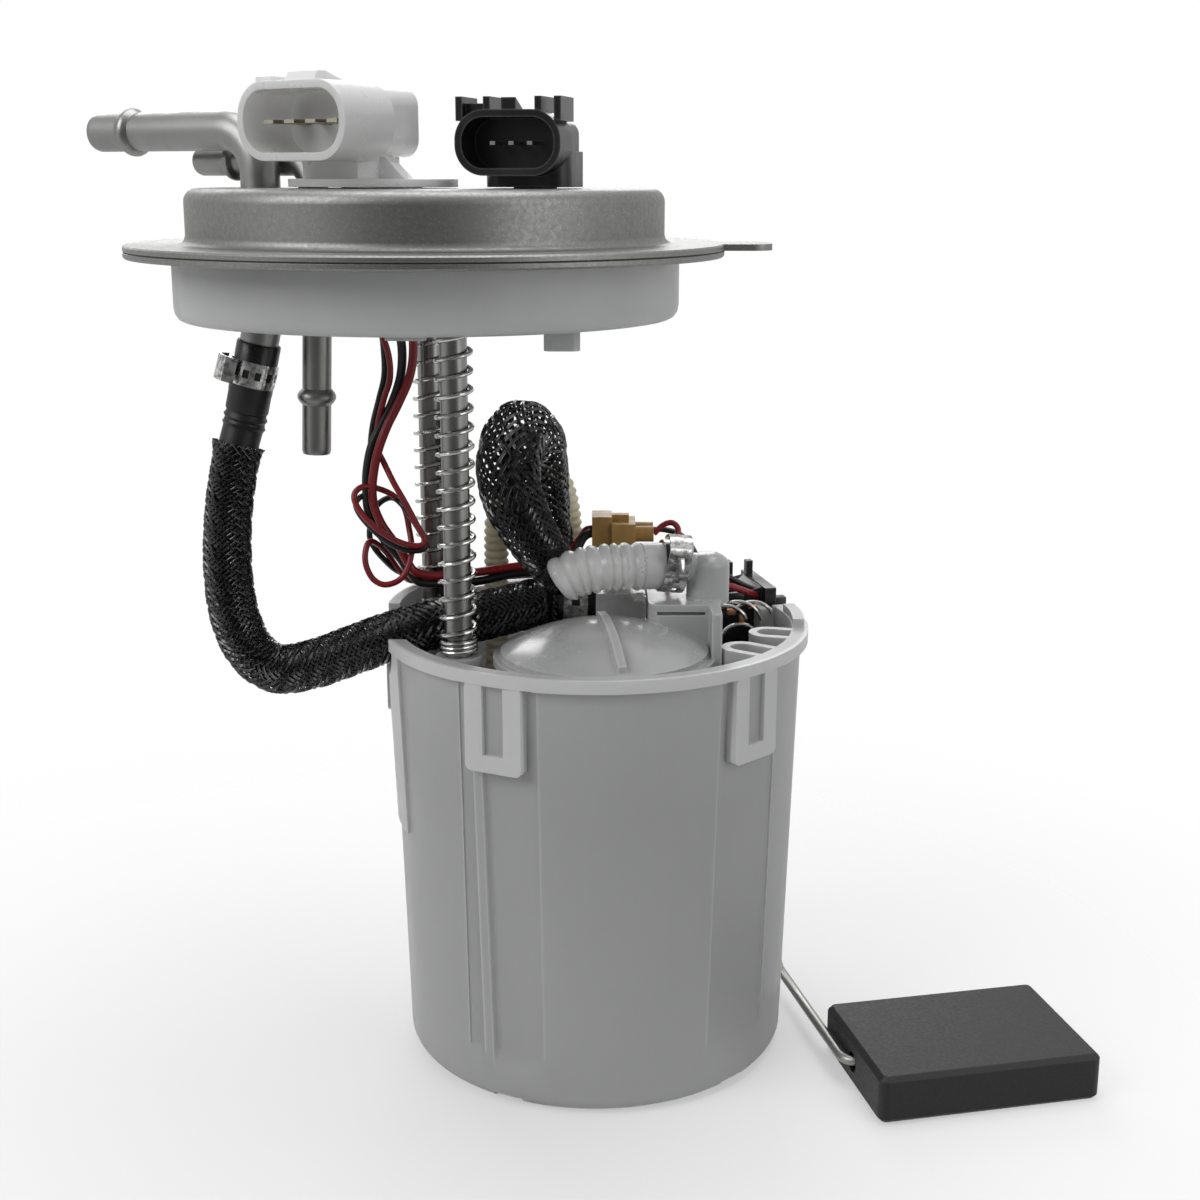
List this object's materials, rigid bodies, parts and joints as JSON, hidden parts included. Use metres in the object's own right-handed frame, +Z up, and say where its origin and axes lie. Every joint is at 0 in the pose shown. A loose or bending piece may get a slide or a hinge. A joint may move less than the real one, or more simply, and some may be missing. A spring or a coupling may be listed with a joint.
{
  "type": "fuel pump module",
  "caption": "In-tank fuel pump module: flanged steel cover on sprung guide rods over a round reservoir with the pump, hoses and a float-arm level sender.",
  "frame": {"origin": "centre of the flange's sealing face, where it meets the tank opening", "axes": "+Z up out of the tank, -Y towards the mouths of the electrical plugs, +X from the flange's centre towards the reservoir's axis and the level sender"},
  "size_m": [0.2472, 0.139, 0.2373],
  "materials": {
    "cover_steel": "zinc plated, satin",
    "carrier_nylon": "moulded",
    "tube_steel": "satin",
    "plug_nylon": "semi gloss",
    "contact_brass": "bright",
    "sensor_plastic": "semi gloss",
    "bright_steel": "bright",
    "spring_steel": "bright",
    "clamp_steel": "bright",
    "seal_rubber": "matt",
    "hose_rubber": "semi matt",
    "hose_braid": "woven plastic thread, slightly glossy",
    "wire_red": "semi gloss",
    "wire_black": "semi gloss",
    "reservoir_nylon": "moulded, slightly see-through",
    "magnet_ferrite": "matt",
    "brush_carbon": "matt",
    "strainer_mesh": "fine mesh",
    "winding_copper": "bright",
    "impeller_resin": "matt",
    "corrugated_nylon": "translucent",
    "feed_plastic": "semi matt",
    "tan_plastic": "semi matt",
    "card_ceramic": "matt",
    "arm_steel": "satin",
    "float_foam": "fine grained, matt"
  },
  "bodies": {
    "cover": {"cover_plate": "cover_steel", "carrier": "carrier_nylon", "outlet_tube": "tube_steel", "vapour_tube": "tube_steel", "connector_shell": "plug_nylon", "connector_blades": "contact_brass", "pressure_sensor": "sensor_plastic", "sensor_pins": "bright_steel", "sensor_grommet": "seal_rubber", "front_rod": "bright_steel", "rear_rod": "bright_steel", "rod_clips": "spring_steel", "front_spring": "spring_steel", "rear_spring": "spring_steel", "upper_cuff": "hose_rubber", "upper_clamp": "clamp_steel", "supply_hose": "hose_braid", "harness_red": "wire_red", "harness_black": "wire_black", "sender_wire_red": "wire_red", "sender_wire_black": "wire_black"},
    "reservoir": {"reservoir": "reservoir_nylon", "floor_valve": "seal_rubber", "pump_cap": "reservoir_nylon", "pump_can": "clamp_steel", "pump_head": "sensor_plastic", "pump_magnets": "magnet_ferrite", "pump_brushes": "brush_carbon", "pump_plate": "clamp_steel", "pump_inlet": "sensor_plastic", "pump_strainer": "strainer_mesh", "check_spring": "spring_steel", "check_retainer": "contact_brass", "lower_cuff": "hose_rubber", "lower_clamp": "clamp_steel", "corrugated_tube": "corrugated_nylon", "loop_clamp": "clamp_steel", "loop_hose": "hose_braid", "pressure_regulator": "clamp_steel", "feed_hose": "feed_plastic", "jet_pump": "sensor_plastic", "motor_plug": "tan_plastic", "motor_lead_red": "wire_red", "motor_lead_black": "wire_black", "sender_housing": "sensor_plastic", "sender_card": "card_ceramic", "sender_contacts": "bright_steel", "pivot_clip": "spring_steel"},
    "rotor": {"motor_shaft": "bright_steel", "armature": "winding_copper", "commutator": "winding_copper", "impeller": "impeller_resin"},
    "check_poppet": {"check_poppet": "seal_rubber"},
    "float_arm": {"arm_hub": "sensor_plastic", "wiper": "contact_brass", "float_arm": "arm_steel"},
    "float": {"float": "float_foam"}
  },
  "joints": [
    {"name": "reservoir_slide", "type": "slide", "parent": "cover", "child": "reservoir", "axis": [0, 0, 1], "range_m": [0, 0.03], "stiffness_N_per_m": 300, "springref_m": -0.05, "deforming": ["front_spring", "rear_spring", "supply_hose", "harness_red", "harness_black", "sender_wire_red", "sender_wire_black"]},
    {"name": "motor_spin", "type": "hinge", "parent": "reservoir", "child": "rotor", "pos_m": [0.0415, -0.021, -0.14], "axis": [0, 0, 1], "continuous": true},
    {"name": "check_lift", "type": "slide", "parent": "reservoir", "child": "check_poppet", "axis": [0, 0, 1], "range_m": [0, 0.0015], "stiffness_N_per_m": 40, "springref_m": -0.002, "deforming": ["check_spring"]},
    {"name": "arm_pivot", "type": "hinge", "parent": "reservoir", "child": "float_arm", "pos_m": [0.0866, 0.03046, -0.135], "axis": [-0.9781, -0.2079, 0], "range_deg": [0, 65]},
    {"name": "float_pivot", "type": "hinge", "parent": "float_arm", "child": "float", "pos_m": [0.10028, -0.0339, -0.191], "axis": [-0.9781, -0.2079, 0], "range_deg": [-65, 0]}
  ],
  "couplings": [
    {"joint": "float_pivot", "follows": "arm_pivot", "ratio": -1}
  ]
}
